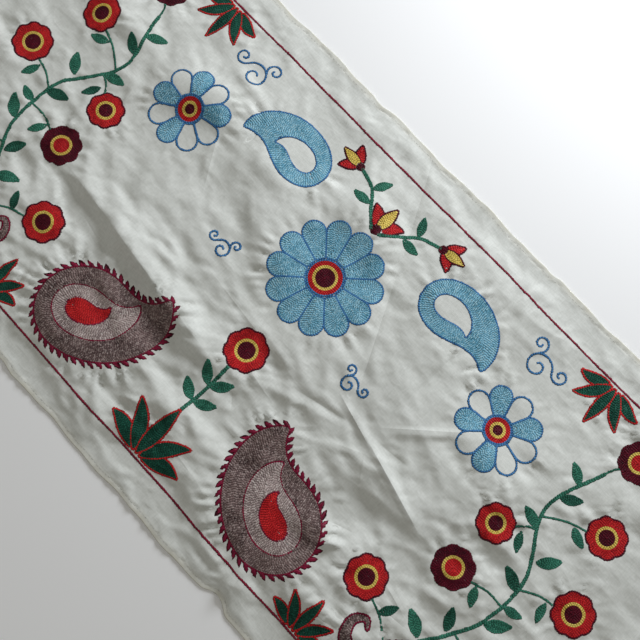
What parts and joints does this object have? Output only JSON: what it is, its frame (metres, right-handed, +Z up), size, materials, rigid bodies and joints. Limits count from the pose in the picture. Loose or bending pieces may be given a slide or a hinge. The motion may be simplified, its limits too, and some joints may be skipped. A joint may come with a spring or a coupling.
{
  "type": "suzani embroidered textile",
  "caption": "Long embroidered cotton runner with a narrow turned hem, lying flat in soft folds and pressed storage creases.",
  "frame": {"origin": "centre of the base: the middle of the cloth's outline, on the surface it lies on", "axes": "+X along the length of the runner, +Y across it, +Z up, away from the surface"},
  "size_m": [1.45, 0.48, 0.0126],
  "materials": {
    "cotton": "matte plain-weave cotton, off-white",
    "thread_blue": "silky embroidery thread, light and mid blue",
    "thread_mauve": "silky embroidery thread, mauve brown and grey",
    "thread_burgundy": "silky embroidery thread, burgundy",
    "thread_red": "silky embroidery thread, red",
    "thread_yellow": "silky embroidery thread, straw yellow",
    "thread_green": "silky embroidery thread, leaf and dark green"
  },
  "bodies": {
    "root": {"cloth": "cotton"}
  },
  "joints": []
}
